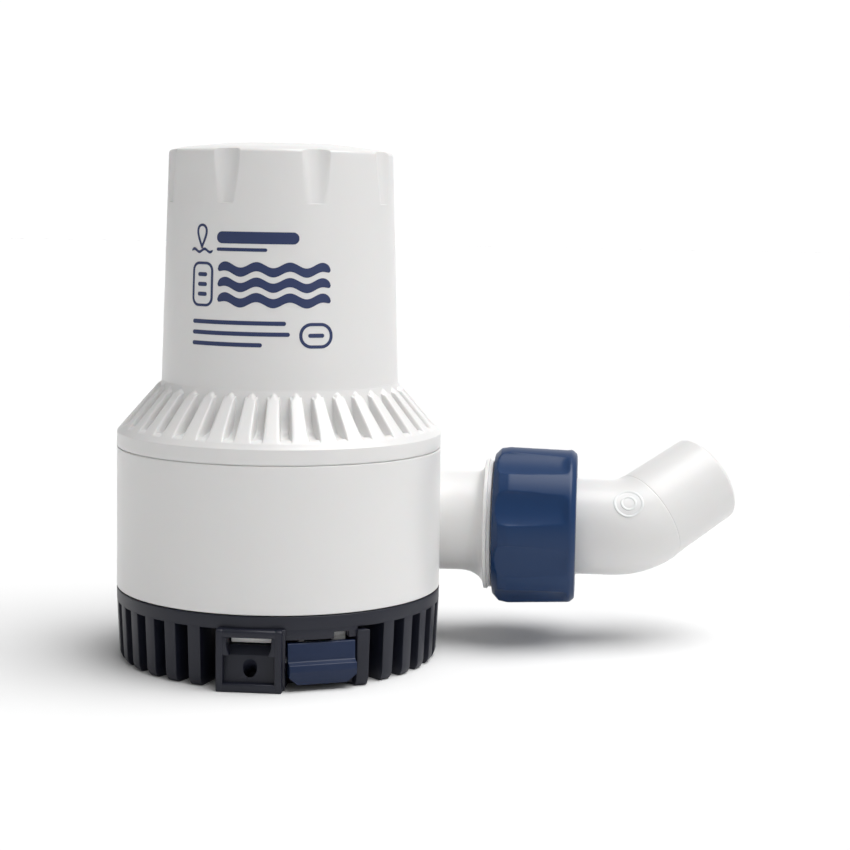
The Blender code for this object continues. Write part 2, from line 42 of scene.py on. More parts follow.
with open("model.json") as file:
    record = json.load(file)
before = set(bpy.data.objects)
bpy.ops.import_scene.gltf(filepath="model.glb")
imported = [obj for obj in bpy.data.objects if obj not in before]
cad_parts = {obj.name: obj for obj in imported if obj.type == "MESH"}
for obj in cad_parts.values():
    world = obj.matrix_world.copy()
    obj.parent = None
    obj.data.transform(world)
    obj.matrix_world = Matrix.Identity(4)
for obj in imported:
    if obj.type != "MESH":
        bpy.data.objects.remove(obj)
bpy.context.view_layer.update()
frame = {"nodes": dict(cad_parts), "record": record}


def cad(node):
    """Lowest and highest corner of a CAD node, mm."""
    low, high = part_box(node)
    return low / MM, high / MM


# ---------------------------------------------------------------- sizes taken from the frame, mm
base_high = cad("strainer_base")[1]
body_high = cad("volute_body")[1]
cap_high = cad("motor_housing")[1]
nut_low, nut_high = cad("union_nut")
elbow_low = cad("outlet_elbow")[0]

BODY_R = base_high.x  # drum and strainer band
BAND_TOP = base_high.z
DRUM_LOW = BAND_TOP + 0.3
DRUM_TOP = body_high.z
CAP_LOW = DRUM_TOP + 0.3
CROWN_Z = cap_high.z
RIM_R = cap_high.x
RIM_Z = CAP_LOW + 4.4
FOOT_R, FOOT_Z = 36.8, RIM_Z + 15.8  # foot of the cap's wall
EDGE_R, EDGE_Z = 34.5, CROWN_Z - 4.6  # where the cap's wall starts to round over
TAB_Y = base_high.y
TAB_HALF = 9.7
ring_low, ring_high = cad("slip_ring")  # round, so its box is centred on the outlet's axis
OUT_Y = (ring_low.y + ring_high.y) / 2
OUT_Z = (ring_low.z + ring_high.z) / 2
NUT_X0, NUT_X1 = nut_low.x, nut_high.x
NUT_R = max(nut_high.z - OUT_Z, OUT_Z - nut_low.z)
NOSE_X = body_high.x
FLANGE_X = elbow_low.x
RIBS = 36
RIB_PHASE = 1.5  # degrees from -Y
FLUTES = 8
FLUTE_PHASE = 26.8
LATCH_AZ = 24.0
BAY_HALF = 12.3  # half of the gap that a latch fills, degrees
THREAD_PITCH = 3.0

# ---------------------------------------------------------------- mesh helpers


def mesh_object(name, verts, faces, mat, smooth_deg=35):
    """Object from mm points and faces, shaded smooth up to an angle."""
    mesh = bpy.data.meshes.new(name)
    mesh.from_pydata([tuple(v) for v in np.asarray(verts, float) * MM], [], faces)
    mesh.validate()
    bm = bmesh.new()
    bm.from_mesh(mesh)
    bmesh.ops.remove_doubles(bm, verts=bm.verts, dist=2e-6)
    bmesh.ops.recalc_face_normals(bm, faces=bm.faces)
    bm.to_mesh(mesh)
    bm.free()
    mesh.shade_smooth()
    mesh.set_sharp_from_angle(angle=math.radians(smooth_deg))
    mesh.materials.append(mat)
    obj = bpy.data.objects.new(name, mesh)
    bpy.context.scene.collection.objects.link(obj)
    return obj


class Build:
    """Collects several closed shells into one mesh, in mm."""

    def __init__(self):
        self.verts = []
        self.faces = []

    def add(self, verts, faces, place=None):
        verts = np.asarray(verts, float).reshape(-1, 3)
        if place is not None:
            m = np.array(place)
            verts = verts @ m[:3, :3].T + m[:3, 3]
        first = len(self.verts)
        self.verts.extend(verts.tolist())
        self.faces.extend(tuple(first + i for i in face) for face in faces)
        return self

    def grid(self, pts, wrap_u=True, wrap_v=False, place=None):
        """Quads over an array of points of shape (v, u, 3)."""
        nv, nu = pts.shape[:2]
        faces = []
        for v in range(nv if wrap_v else nv - 1):
            for u in range(nu if wrap_u else nu - 1):
                w, t = (v + 1) % nv, (u + 1) % nu
                faces.append((v * nu + u, v * nu + t, w * nu + t, w * nu + u))
        return self.add(pts, faces, place)

    def lathe(self, profile, segs=128, place=None, closed=True):
        """(r, z) outline turned about Z. closed joins its last point to its first."""
        outline = np.asarray(profile, float)
        turn = np.arange(segs) * TAU / segs
        r, z = outline[:, :1], outline[:, 1:2]
        pts = np.stack([r * np.cos(turn), r * np.sin(turn), z + 0 * turn], -1)
        return self.grid(pts, wrap_v=closed, place=place)

    def slab(self, outline, low, high, bevel=0.3, place=None, steps=2):
        """Outline in local XY, solid from low to high along local Z, with rounded edges."""
        bm = bmesh.new()
        bottom = [bm.verts.new((x, y, low)) for x, y in outline]
        face = bm.faces.new(bottom)
        made = bmesh.ops.extrude_face_region(bm, geom=[face])
        top = [v for v in made["geom"] if isinstance(v, bmesh.types.BMVert)]
        bmesh.ops.translate(bm, verts=top, vec=(0, 0, high - low))
        bmesh.ops.recalc_face_normals(bm, faces=bm.faces)
        if bevel:
            hard = [e for e in bm.edges if e.calc_face_angle(0) > math.radians(22)]
            bmesh.ops.bevel(
                bm, geom=hard, offset=bevel, segments=steps, profile=0.5, affect="EDGES", clamp_overlap=True
            )
        bm.verts.index_update()
        verts = [tuple(v.co) for v in bm.verts]
        faces = [tuple(v.index for v in f.verts) for f in bm.faces]
        bm.free()
        return self.add(verts, faces, place)

    def tube(self, stations, segs=96, place=None, closed=False):
        """Rings about (centre, direction, radius), joined in order."""
        rings = []
        turn = np.arange(segs) * TAU / segs
        for centre, direction, radius in stations:
            d = Vector(direction).normalized()
            side = Vector((0, 1, 0)) if abs(d.y) < 0.95 else Vector((0, 0, 1))
            u = side.cross(d).normalized()
            v = d.cross(u)
            spin = np.outer(np.cos(turn), u) + np.outer(np.sin(turn), v)
            rings.append(np.array(centre) + np.reshape(radius, (-1, 1)) * spin)
        return self.grid(np.array(rings), wrap_v=closed, place=place)

    def done(self, name, mat, smooth_deg=35):
        return mesh_object(name, self.verts, self.faces, mat, smooth_deg)


def rounded(points, closed=False, steps=5):
    """Outline whose corners (x, y, radius) become arcs. A corner with no radius stays sharp."""
    pts = [Vector(p[:2]) for p in points]
    radii = [p[2] if len(p) > 2 else 0 for p in points]
    n = len(pts)
    out = []
    for i, (p, radius) in enumerate(zip(pts, radii)):
        if not radius or (not closed and i in (0, n - 1)):
            out.append(tuple(p))
            continue
        a, b = pts[i - 1] - p, pts[(i + 1) % n] - p
        da, db = a.normalized(), b.normalized()
        half = da.angle(db) / 2
        reach = min(radius / math.tan(half), a.length * 0.49, b.length * 0.49)
        radius = reach * math.tan(half)
        centre = p + (da + db).normalized() * radius / math.sin(half)
        start, end = p + da * reach - centre, p + db * reach - centre
        swing = start.angle_signed(end)
        for k in range(steps + 1):
            t = -swing * k / steps
            c, s = math.cos(t), math.sin(t)
            out.append((centre.x + start.x * c - start.y * s, centre.y + start.x * s + start.y * c))
    return out


def thinned(outline, step):
    """Outline with long stretches cut into pieces no longer than step."""
    out = []
    for a, b in zip(outline, outline[1:]):
        parts = max(1, math.ceil(math.dist(a, b) / step))
        out += [(a[0] + (b[0] - a[0]) * k / parts, a[1] + (b[1] - a[1]) * k / parts) for k in range(parts)]
    return out + [outline[-1]]


def polar(az):
    """Local axes at an azimuth from -Y towards +X: X outwards, Y along the tangent, Z up."""
    return Matrix.Rotation(math.radians(az - 90), 4, "Z")


def upright(az):
    """Slab axes at an azimuth: X outwards, Y up, Z along the tangent."""
    return polar(az) @ Matrix.Rotation(math.radians(90), 4, "X")


def across(az):
    """Slab axes at an azimuth: X along the tangent, Y up, Z outwards."""
    return polar(az) @ Matrix(((0, 0, 1, 0), (1, 0, 0, 0), (0, 1, 0, 0), (0, 0, 0, 1)))


def box_outline(x0, x1, y0, y1, radius=0.4):
    corners = [(x0, y0), (x1, y0), (x1, y1), (x0, y1)]
    return rounded([(*corner, radius) for corner in corners], closed=True, steps=3)


def along_x(y, z):
    """A lathe's Z becomes +X, on the axis at (y, z)."""
    return Matrix.Translation((0, y, z)) @ Matrix.Rotation(math.radians(90), 4, "Y")


def smoothstep(t):
    t = np.clip(t, 0, 1)
    return t * t * (3 - 2 * t)


# ---------------------------------------------------------------- materials


def new_material(name, colour, rough, metallic=0.0, **sockets):
    """Principled material; returns (material, nodes, links, shader)."""
    mat = bpy.data.materials.new(name)
    mat.use_nodes = True
    nodes, links = mat.node_tree.nodes, mat.node_tree.links
    bsdf = nodes["Principled BSDF"]
    bsdf.inputs["Base Color"].default_value = (*colour, 1)
    bsdf.inputs["Roughness"].default_value = rough
    bsdf.inputs["Metallic"].default_value = metallic
    for socket, value in sockets.items():
        bsdf.inputs[socket.replace("_", " ")].default_value = value
    return mat, nodes, links, bsdf


def noise(nodes, links, scale, detail=3.0, stretch=(1, 1, 1)):
    """3-D noise in object space, so it doesn't depend on UVs."""
    where = nodes.new("ShaderNodeTexCoord")
    squeeze = nodes.new("ShaderNodeMapping")
    squeeze.inputs["Scale"].default_value = stretch
    tex = nodes.new("ShaderNodeTexNoise")
    tex.inputs["Scale"].default_value = scale
    tex.inputs["Detail"].default_value = detail
    links.new(where.outputs["Object"], squeeze.inputs["Vector"])
    links.new(squeeze.outputs["Vector"], tex.inputs["Vector"])
    return tex.outputs["Fac"]


def ranged(nodes, links, value, low, high, start=0.3, end=0.7):
    """Maps a noise value onto low to high."""
    node = nodes.new("ShaderNodeMapRange")
    node.inputs["From Min"].default_value = start
    node.inputs["From Max"].default_value = end
    node.inputs["To Min"].default_value = low
    node.inputs["To Max"].default_value = high
    links.new(value, node.inputs["Value"])
    return node.outputs["Result"]


def mixed(nodes, links, value, dark, light):
    """Colour between two, by a noise value."""
    node = nodes.new("ShaderNodeMix")
    node.data_type = "RGBA"
    node.inputs["A"].default_value = (*dark, 1)
    node.inputs["B"].default_value = (*light, 1)
    links.new(value, node.inputs["Factor"])
    return node.outputs["Result"]


def bumped(nodes, links, bsdf, height, strength, distance):
    bump = nodes.new("ShaderNodeBump")
    bump.inputs["Strength"].default_value = strength
    bump.inputs["Distance"].default_value = distance
    links.new(height, bump.inputs["Height"])
    links.new(bump.outputs["Normal"], bsdf.inputs["Normal"])


def moulded(name, dark, light, rough, grain=1400.0, depth=0.00002, strength=0.25, **sockets):
    """Moulded plastic: faint colour drift, uneven gloss and a fine grain."""
    mat, nodes, links, bsdf = new_material(name, light, rough, **sockets)
    drift = noise(nodes, links, 12.0, 2.0, (1, 1, 0.35))
    drift = ranged(nodes, links, drift, 0, 1, 0.1, 0.9)
    links.new(mixed(nodes, links, drift, dark, light), bsdf.inputs["Base Color"])
    haze = noise(nodes, links, 30.0, 2.0)
    links.new(ranged(nodes, links, haze, rough - 0.012, rough + 0.012, 0.1, 0.9), bsdf.inputs["Roughness"])
    bumped(nodes, links, bsdf, noise(nodes, links, grain, 2.0), strength, depth)
    return mat


def metal(name, dark, light, rough, stretch=(1, 1, 1), scale=600.0):
    """Machined or pressed metal, with fine drawn marks along one direction."""
    mat, nodes, links, bsdf = new_material(name, light, rough, 1.0)
    marks = noise(nodes, links, scale, 4.0, stretch)
    links.new(mixed(nodes, links, ranged(nodes, links, marks, 0, 1), dark, light), bsdf.inputs["Base Color"])
    links.new(ranged(nodes, links, marks, rough - 0.08, rough + 0.1), bsdf.inputs["Roughness"])
    bumped(nodes, links, bsdf, marks, 0.2, 0.00003)
    return mat


WHITE = moulded(
    "white_abs", (0.735, 0.729, 0.722), (0.74, 0.734, 0.727), 0.32, grain=2200.0, depth=0.000006,
    Subsurface_Weight=0.06, Subsurface_Scale=0.002,
)
NAVY = moulded(
    "navy_resin", (0.0098, 0.0112, 0.0205), (0.0105, 0.0120, 0.0220), 0.42, grain=2200.0, depth=0.00001,
    Specular_IOR_Level=0.38,
)
BLUE = moulded(
    "blue_resin", (0.0068, 0.0315, 0.1000), (0.0072, 0.0330, 0.1050), 0.36, grain=2200.0, depth=0.00001,
    Specular_IOR_Level=0.32,
)
# Darker copy of the blue resin for the latch levers: painted shade, standing in for the shade the levers sit
# in.
SHADED_LEVER_BLUE = moulded(
    "latch_resin_painted_shade", (0.0062, 0.0165, 0.0520), (0.0066, 0.0175, 0.0550), 0.38, grain=2200.0, depth=0.00001,
    Specular_IOR_Level=0.32,
)
INK = moulded("navy_ink", (0.014, 0.026, 0.09), (0.02, 0.036, 0.12), 0.42, grain=3000.0, depth=0.00001)
RUBBER = moulded(
    "black_rubber", (0.012, 0.012, 0.012), (0.028, 0.028, 0.028), 0.62,
    grain=1100.0, depth=0.00006, strength=0.5,
)
NYLON = moulded(
    "natural_nylon", (0.56, 0.54, 0.48), (0.66, 0.64, 0.58), 0.42,
    Subsurface_Weight=0.1, Subsurface_Scale=0.002,
)
STEEL = metal("stainless_steel", (0.42, 0.42, 0.43), (0.6, 0.6, 0.61), 0.3, (1, 1, 12))
LAMINATED = metal("laminated_iron", (0.16, 0.16, 0.17), (0.36, 0.36, 0.37), 0.42, (0.05, 0.05, 3), 900.0)
COPPER = metal("copper_wire", (0.5, 0.2, 0.1), (0.72, 0.34, 0.18), 0.32, (1, 1, 14), 420.0)
BRASS = metal("pressed_brass", (0.55, 0.4, 0.16), (0.76, 0.58, 0.28), 0.3)
BRONZE = metal("sintered_bronze", (0.3, 0.2, 0.1), (0.5, 0.35, 0.19), 0.48, scale=1800.0)
MAGNET = moulded(
    "ferrite", (0.03, 0.03, 0.032), (0.06, 0.06, 0.064), 0.55, grain=900.0, depth=0.00005, strength=0.4
)
CARBON = moulded("carbon_graphite", (0.02, 0.02, 0.021), (0.045, 0.045, 0.047), 0.5, grain=2400.0)
SLOT_MATERIALS = {
    "white_plastic": WHITE, "navy_plastic": NAVY, "blue_plastic": BLUE, "rubber": RUBBER, "steel": STEEL,
    "laminations": LAMINATED, "copper": COPPER, "brass": BRASS, "bronze": BRONZE, "magnet": MAGNET,
    "carbon": CARBON, "nylon": NYLON,
}
for entry in frame["record"]["subparts"]:
    obj = frame["nodes"][entry["node"]]
    obj.data.materials.clear()
    obj.data.materials.append(SLOT_MATERIALS[entry["material_slot"]])


def place(obj, body, slot, *nodes):
    """Hands a finished piece to the frame."""
    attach(obj, body)
    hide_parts(*nodes)
    return obj


# ---------------------------------------------------------------- motor housing
SLOT_FOOT = 0.115  # share of the cone that stays whole above the rim
# Slot floors between the ribs: (share of the cone from its rim, radius, height)
SLOT_FLOOR = [
    (SLOT_FOOT, 47.3, 73.6), (0.16, 45.6, 73.3), (0.3, 41.2, 74.6), (0.5, 38.9, 78.4), (0.75, 38.0, 82.6),
    (1.0, FOOT_R, FOOT_Z),
]
# Columns across one rib pitch: (mm from the slot's middle, share of full depth); the rest is the rib
SLOT_COLUMNS = [
    (0.0, 1), (0.8, 1), (1.25, 1), (1.42, 0.95), (1.5, 0.8), (1.58, 0.3), (1.7, 0.1), (1.9, 0.025), (2.15, 0),
]
RIB_COLUMNS = (0.35, 0.7, 1.0)  # shares of the rib's half width
FLUTE_R = 6.7
FLUTE_FOOT = 141.6
FLUTE_DEPTH = (0.5, 1.75)  # at its foot and at the top
EDGE_TOP = EDGE_Z + 1.8
WALL_SLOPE = (FOOT_R - EDGE_R) / (EDGE_TOP - FOOT_Z)


def cap_wall(z):
    """Radius of the cap's wall at a height."""
    return FOOT_R - (z - FOOT_Z) * WALL_SLOPE


def housing():
    lip_r, lip_z = RIM_R - 0.45, DRUM_TOP + 0.05
    cone = [(RIM_R - 0.05, RIM_Z, 0.4), (FOOT_R, FOOT_Z, 0.9)]
    crown = [(EDGE_R - 4.5, CROWN_Z - 1.75, 10.0), (EDGE_R - 17, CROWN_Z - 0.4, 60.0), (2.0, CROWN_Z)]
    outline = rounded(
        [
            (43.6, 60.0), (47.3, 60.0, 0.3), (47.5, lip_z), (lip_r, lip_z), (lip_r, CAP_LOW),
            (RIM_R, CAP_LOW, 0.3), *cone, (EDGE_R, EDGE_TOP, 1.1), *crown,
        ],
        steps=8,
    )
    outline = thinned(outline, 1.6)
    # Extra rows where the flutes and slots end
    extra = []
    for z in (FLUTE_FOOT - 0.5, FLUTE_FOOT - 0.12, FLUTE_FOOT + 0.06, FLUTE_FOOT + 0.25, FLUTE_FOOT + 0.6):
        extra.append((cap_wall(z), z))
    for share in (0.09, 0.105, SLOT_FOOT, 0.125, 0.14, 0.2, 0.84, 0.87, 0.89, 0.91, 0.93, 0.95, 0.97):
        extra.append((RIM_R + (FOOT_R - RIM_R) * share, RIM_Z + (FOOT_Z - RIM_Z) * share))
    split = next(i for i, p in enumerate(outline) if p[1] > CAP_LOW + 1.0)
    lower, upper = outline[:split], sorted(outline[split:] + extra, key=lambda p: (p[1], -p[0]))
    outline = np.array(lower + upper)
    r0, z0 = outline[:, 0], outline[:, 1]

    columns = [(-x, w, 0) for x, w in reversed(SLOT_COLUMNS[1:])] + [(x, w, 0) for x, w in SLOT_COLUMNS]
    columns += [(0, 0, s) for s in RIB_COLUMNS] + [(0, 0, -s) for s in reversed(RIB_COLUMNS[:-1])]
    pitch = TAU / RIBS
    edge = SLOT_COLUMNS[-1][0]
    span = np.clip(r0, 20, None)  # keeps the columns apart near the crown's middle
    angles, depth, side = [], [], []
    for k in range(RIBS):
        for x, w, share in columns:
            rib = pitch / 2 - edge / span
            if share == 0:
                offset = x / span
            elif share > 0:
                offset = edge / span + rib * share
            else:
                offset = pitch - edge / span + rib * share
            angles.append(math.radians(RIB_PHASE - 90) + k * pitch + offset)
            depth.append(w)
            side.append(1 - abs(share))
    angles, depth, side = np.array(angles).T, np.array(depth), np.array(side)
    # Even columns towards the crown's middle
    even = angles[:, :1] + np.arange(len(depth)) * TAU / len(depth)
    angles += (even - angles) * smoothstep((28 - r0) / 14)[:, None] * (z0 > EDGE_TOP)[:, None]

    # Slots: pull the cone in to the slot floor
    share = (z0 - RIM_Z) / (FOOT_Z - RIM_Z)
    table = np.array(SLOT_FLOOR)
    on_cone = (share >= SLOT_FOOT - 1e-6) & (share <= 1) & (r0 > FOOT_R - 0.5)
    floor_r = np.interp(share, table[:, 0], table[:, 1])
    floor_z = np.interp(share, table[:, 0], table[:, 2])
    rib_end = smoothstep((share[:, None] - 0.91 + 0.07 * side**2) / 0.05)  # ribs end in a round top
    pull = on_cone[:, None] * np.maximum(depth, rib_end)
    r = r0[:, None] + pull * (np.minimum(floor_r, r0) - r0)[:, None]
    z = z0[:, None] + pull * (floor_z - z0)[:, None]

    # Flutes: cut by leaning round troughs
    rise = np.clip((z0 - FLUTE_FOOT) / (EDGE_Z - FLUTE_FOOT), 0, 1.3)
    deep = FLUTE_DEPTH[0] + (FLUTE_DEPTH[1] - FLUTE_DEPTH[0]) * rise
    wall_r = cap_wall(np.clip(z0, None, EDGE_Z))
    centre = (wall_r - deep + FLUTE_R)[:, None]
    off = (angles - math.radians(FLUTE_PHASE - 90) + math.pi / FLUTES) % (TAU / FLUTES) - math.pi / FLUTES
    inside = FLUTE_R**2 - (centre * np.sin(off)) ** 2
    trough = np.where(inside > 0, centre * np.cos(off) - np.sqrt(np.clip(inside, 0, None)), 99.0)
    cut = (z0 > FLUTE_FOOT)[:, None]
    soft = 0.3
    blend = np.clip(0.5 + 0.5 * (trough - r) / soft, 0, 1)
    low = trough * (1 - blend) + r * blend - soft * blend * (1 - blend)
    r = np.where(cut, low, r)
    pts = np.stack([r * np.cos(angles), r * np.sin(angles), z], -1)
    shell = Build().grid(pts)
    shell.faces.append(tuple(range(len(shell.verts) - len(depth), len(shell.verts))))
    obj = shell.done("motor_housing_shell", WHITE, 40)
    return place(obj, "pump_body", "white_plastic", "motor_housing")


housing()


# ---------------------------------------------------------------- printed marks on the cap
INK_PROUD = 0.06  # the ink stands this far off the wall, and reaches as far into it


def on_cap(az, z, lift):
    r = cap_wall(z) + lift
    turn = np.radians(az - 90)
    return np.stack([r * np.cos(turn), r * np.sin(turn), z], -1)


def filled(shell, az, low, high):
    """Mark between two heights that vary along an azimuth range."""
    corners = ((low, INK_PROUD), (high, INK_PROUD), (high, -INK_PROUD), (low, -INK_PROUD))
    shell.grid(np.array([on_cap(az, z, lift) for z, lift in corners]), wrap_u=False, wrap_v=True)
    n = len(az)
    first = len(shell.verts) - 4 * n
    start = [first + k * n for k in range(4)]
    shell.faces += [tuple(start), tuple(i + n - 1 for i in reversed(start))]


def bar(shell, az0, az1, z, half):
    """Plain bar with rounded ends."""
    per_mm = 1 / (math.radians(1) * cap_wall(z))
    end = half * per_mm
    arc = (1 - np.cos(np.linspace(0, math.pi / 2, 9))) * end * 0.98
    middle = np.linspace(az0 + end, az1 - end, 40)[1:-1]
    az = np.concatenate([az0 + 0.02 * end + arc, middle, az1 - 0.02 * end - arc[::-1]])
    inner = np.clip(np.maximum(az0 + end - az, az - az1 + end) / end, 0, 1)
    tall = half * np.sqrt(np.clip(1 - inner**2, 0.0004, 1))
    filled(shell, az, z - tall, z + tall)


def wave(shell, az0, az1, z, half, swing, count):
    """Stripe that rises and falls."""
    share = np.linspace(0, 1, 120)
    middle = z + swing * np.sin(share * count * TAU)
    tall = half * np.sqrt(np.clip(1 - np.abs(2 * share - 1) ** 24, 0.001, 1))
    filled(shell, az0 + (az1 - az0) * share, middle - tall, middle + tall)


def stroke(shell, path, width):
    """Line of even width along a closed path of (azimuth, z) points."""
    per_mm = 1 / (math.radians(1) * cap_wall(path[:, 1].mean()))
    flat = path / (per_mm, 1)
    ahead = np.roll(flat, -1, 0) - np.roll(flat, 1, 0)
    side = np.stack([-ahead[:, 1], ahead[:, 0]], -1) / np.linalg.norm(ahead, axis=1)[:, None] * width / 2
    rows = []
    for sign, lift in ((1, 1), (-1, 1), (-1, -1), (1, -1)):
        at = (flat + sign * side) * (per_mm, 1)
        rows.append(on_cap(at[:, 0], at[:, 1], lift * INK_PROUD))
    shell.grid(np.array(rows), wrap_v=True)


def round_path(az0, az1, z0, z1, radius_mm, steps=6):
    per_mm = 1 / (math.radians(1) * cap_wall((z0 + z1) / 2))
    corners = [(az0 / per_mm, z0), (az1 / per_mm, z0), (az1 / per_mm, z1), (az0 / per_mm, z1)]
    path = rounded([(*c, radius_mm) for c in corners], closed=True, steps=steps)
    path = thinned(path + path[:1], 0.6)[:-1]
    return np.array(path) * (per_mm, 1)


def label():
    shell = Build()
    # Drop with a ripple under it
    share = np.linspace(0, TAU, 61)[:-1]
    drop = np.stack([-31.6 + 4.0 * np.sin(share) * np.sin(share / 2) ** 1.6, 131.6 - 3.3 * np.cos(share)], -1)
    stroke(shell, drop, 0.75)
    wave(shell, -38.3, -24.9, 127.4, 0.42, 0.45, 2)
    bar(shell, -22.6, 18.2, 131.4, 1.75)
    bar(shell, -22.6, 3.0, 127.9, 0.5)
    # Framed gauge mark and three bold ripples
    stroke(shell, round_path(-36.6, -25.0, 111.3, 123.7, 2.2), 0.8)
    for k in range(3):
        bar(shell, -33.6, -28.0, 114.6 + 2.9 * k, 0.6)
        wave(shell, -21.8, 33.6, 113.2 + 4.5 * k, 1.35, 0.85, 3.5)
    for az1, z in ((12.0, 106.5), (13.8, 103.3), (0.9, 100.1)):
        bar(shell, -36.3, az1, z, 0.62)
    stroke(shell, round_path(18.9, 33.7, 99.7, 106.3, 3.2, 12), 0.95)
    bar(shell, 22.4, 30.2, 103.0, 0.6)
    obj = shell.done("cap_marks", INK, 30)
    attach(obj, "pump_body")
    return obj


label()

# ---------------------------------------------------------------- pump body with its outlet
PIPE_R, PIPE_Z = 16.3, OUT_Z + 0.9  # the pipe sits a little above the collar's axis
COLLAR_R, COLLAR_X = 21.3, (63.6, 66.2)
BORE_R = 12.0
NOSE_R = 19.2
FILLET = 1.3


def thread_depth(x, turn, start, end):
    """0 to 1 across a round-cornered right-hand thread that fades out at both ends."""
    phase = (x / THREAD_PITCH - turn / TAU) % 1.0
    groove = smoothstep((0.36 - np.abs(phase - 0.5)) / 0.2)
    fade = smoothstep((x - start) / 1.2) * smoothstep((end - x) / 1.2)
    return groove * fade


def outlet_pipe(shell):
    turn = np.arange(192) * TAU / 192
    c, s = np.cos(turn), np.sin(turn)
    lift = PIPE_Z - OUT_Z
    pipe = lift * s + np.sqrt(PIPE_R**2 - (lift * c) ** 2)  # pipe surface seen from the collar's axis
    rows = []

    def row(x, r):
        x, r = x + 0 * turn, r + 0 * turn
        rows.append(np.stack([x, OUT_Y + r * c, OUT_Z + r * s], -1))

    # Root fillet on the drum
    for a in np.linspace(0, 90, 7):
        e = FILLET * (1 - math.sin(math.radians(a)))
        y = OUT_Y + (pipe + e) * c
        wall = np.sqrt(np.clip((BODY_R - 0.12) ** 2 - y**2, 0, None))
        if a == 0:
            row(wall - 3, pipe + e)
        row(wall + FILLET * (1 - math.cos(math.radians(a))), pipe + e)
    for x in (54.0, 55.5):
        row(np.maximum(x, rows[-1][:, 0]), pipe)
    # Flare into the collar, longer underneath
    length = 2.4 + 5.6 * ((1 - s) / 2) ** 1.3
    for a in np.linspace(0, 88, 14):
        a = math.radians(a)
        row(COLLAR_X[0] - length * (1 - math.sin(a)), pipe + (COLLAR_R - 0.35 - pipe) * (1 - math.cos(a)))
    near, far = COLLAR_X
    step = COLLAR_R - 0.55
    rim = [
        (COLLAR_R - 0.4, near), (COLLAR_R, near + 0.1, 0.3), (COLLAR_R, near + 1.1),
        (COLLAR_R, near + 1.2, 0.1), (step, near + 1.35, 0.1), (step, far, 0.3), (NOSE_R, far, 0.2),
        (NOSE_R, far + 0.4),
    ]
    for r, x in rounded(rim, steps=4):
        row(x, r)
    for x in np.arange(far + 0.6, NOSE_X - 0.9, 0.22):
        row(x, NOSE_R - 1.1 * thread_depth(x, turn, far + 0.8, NOSE_X + 0.3))
    lip = rounded(
        [
            (NOSE_R, NOSE_X - 0.8), (NOSE_R - 0.1, NOSE_X, 0.6), (BORE_R + 0.2, NOSE_X, 0.5),
            (BORE_R, NOSE_X - 1), (BORE_R, 20.0),
        ],
        steps=5,
    )
    for r, x in lip:
        row(x, r)
    rows.append(rows[0])
    shell.grid(np.array(rows))


def carve(obj, tool, operation):
    """Applies one exact Boolean and throws the tool away."""
    mod = obj.modifiers.new("carve", "BOOLEAN")
    mod.object, mod.operation, mod.solver = tool, operation, "EXACT"
    graph = bpy.context.evaluated_depsgraph_get()
    made = bpy.data.meshes.new_from_object(obj.evaluated_get(graph), depsgraph=graph)
    obj.modifiers.clear()
    obj.data = made
    made.set_sharp_from_angle(angle=math.radians(30))
    bpy.data.objects.remove(tool)


def pump_body():
    floor_z = BAND_TOP - 2.3
    drum = rounded(
        [
            (14.0, floor_z + 3.5, 0.5), (14.0, floor_z - 1.6, 0.5), (16.0, floor_z - 1.6, 0.5),
            (16.4, floor_z, 0.6), (BODY_R - 2.9, floor_z, 0.3), (BODY_R - 2.9, DRUM_LOW, 0.2),
            (BODY_R, DRUM_LOW, 0.35), (BODY_R, DRUM_LOW + 0.9), (BODY_R - 0.2, DRUM_TOP - 0.8),
            (BODY_R - 0.2, DRUM_TOP, 0.4), (47.8, DRUM_TOP, 0.3), (47.8, 52.4, 0.3), (42, 52.4, 0.3),
            (42, floor_z + 3.5, 1.5),
        ],
        closed=True,
    )
    bowl = Build().lathe(drum, 256).done("volute_bowl", WHITE, 30)
    bore = [(0.001, 4), (BORE_R - 0.02, 4), (BORE_R - 0.02, 62), (0.001, 62)]
    carve(bowl, Build().lathe(bore, 96, along_x(OUT_Y, OUT_Z)).done("bore", WHITE), "DIFFERENCE")
    place(bowl, "pump_body", "white_plastic", "volute_body")
    trim = Build()
    outlet_pipe(trim)
    # Lugs that the latches and tabs hold, and ribs that stiffen the floor
    low, eye_low, eye_top, root = 11.3, 12.5, 14.7, 22.0
    for az in (0, 180):
        latch = across(az + LATCH_AZ)
        for outline in (
            box_outline(-6, 8.2, low, eye_low, 0.3), box_outline(-6, -4.4, low, root, 0.3),
            box_outline(4.4, 8.2, low, root, 0.3), box_outline(-6, 8.2, eye_top, root, 0.3),
        ):
            trim.slab(outline, 44.6, 46.9, 0.15, latch)
        trim.slab(box_outline(-6.2, 6.2, 13.6, root, 0.4), 44.6, 46.9, 0.2, across(az))
    for k in range(12):
        rib = [(16.2, floor_z + 0.2), (16.2, floor_z - 1.3), (34, floor_z - 0.9), (36, floor_z + 0.2)]
        trim.slab(rib, -0.7, 0.7, 0.2, upright(15 + 30 * k))
    place(trim.done("outlet_and_lugs", WHITE, 30), "pump_body", "white_plastic", "volute_body")


pump_body()

# ---------------------------------------------------------------- strainer base
FIN_PITCH = 10.0
SLOT_HALF_W = 2.25
SLOT_TOP = 18.0


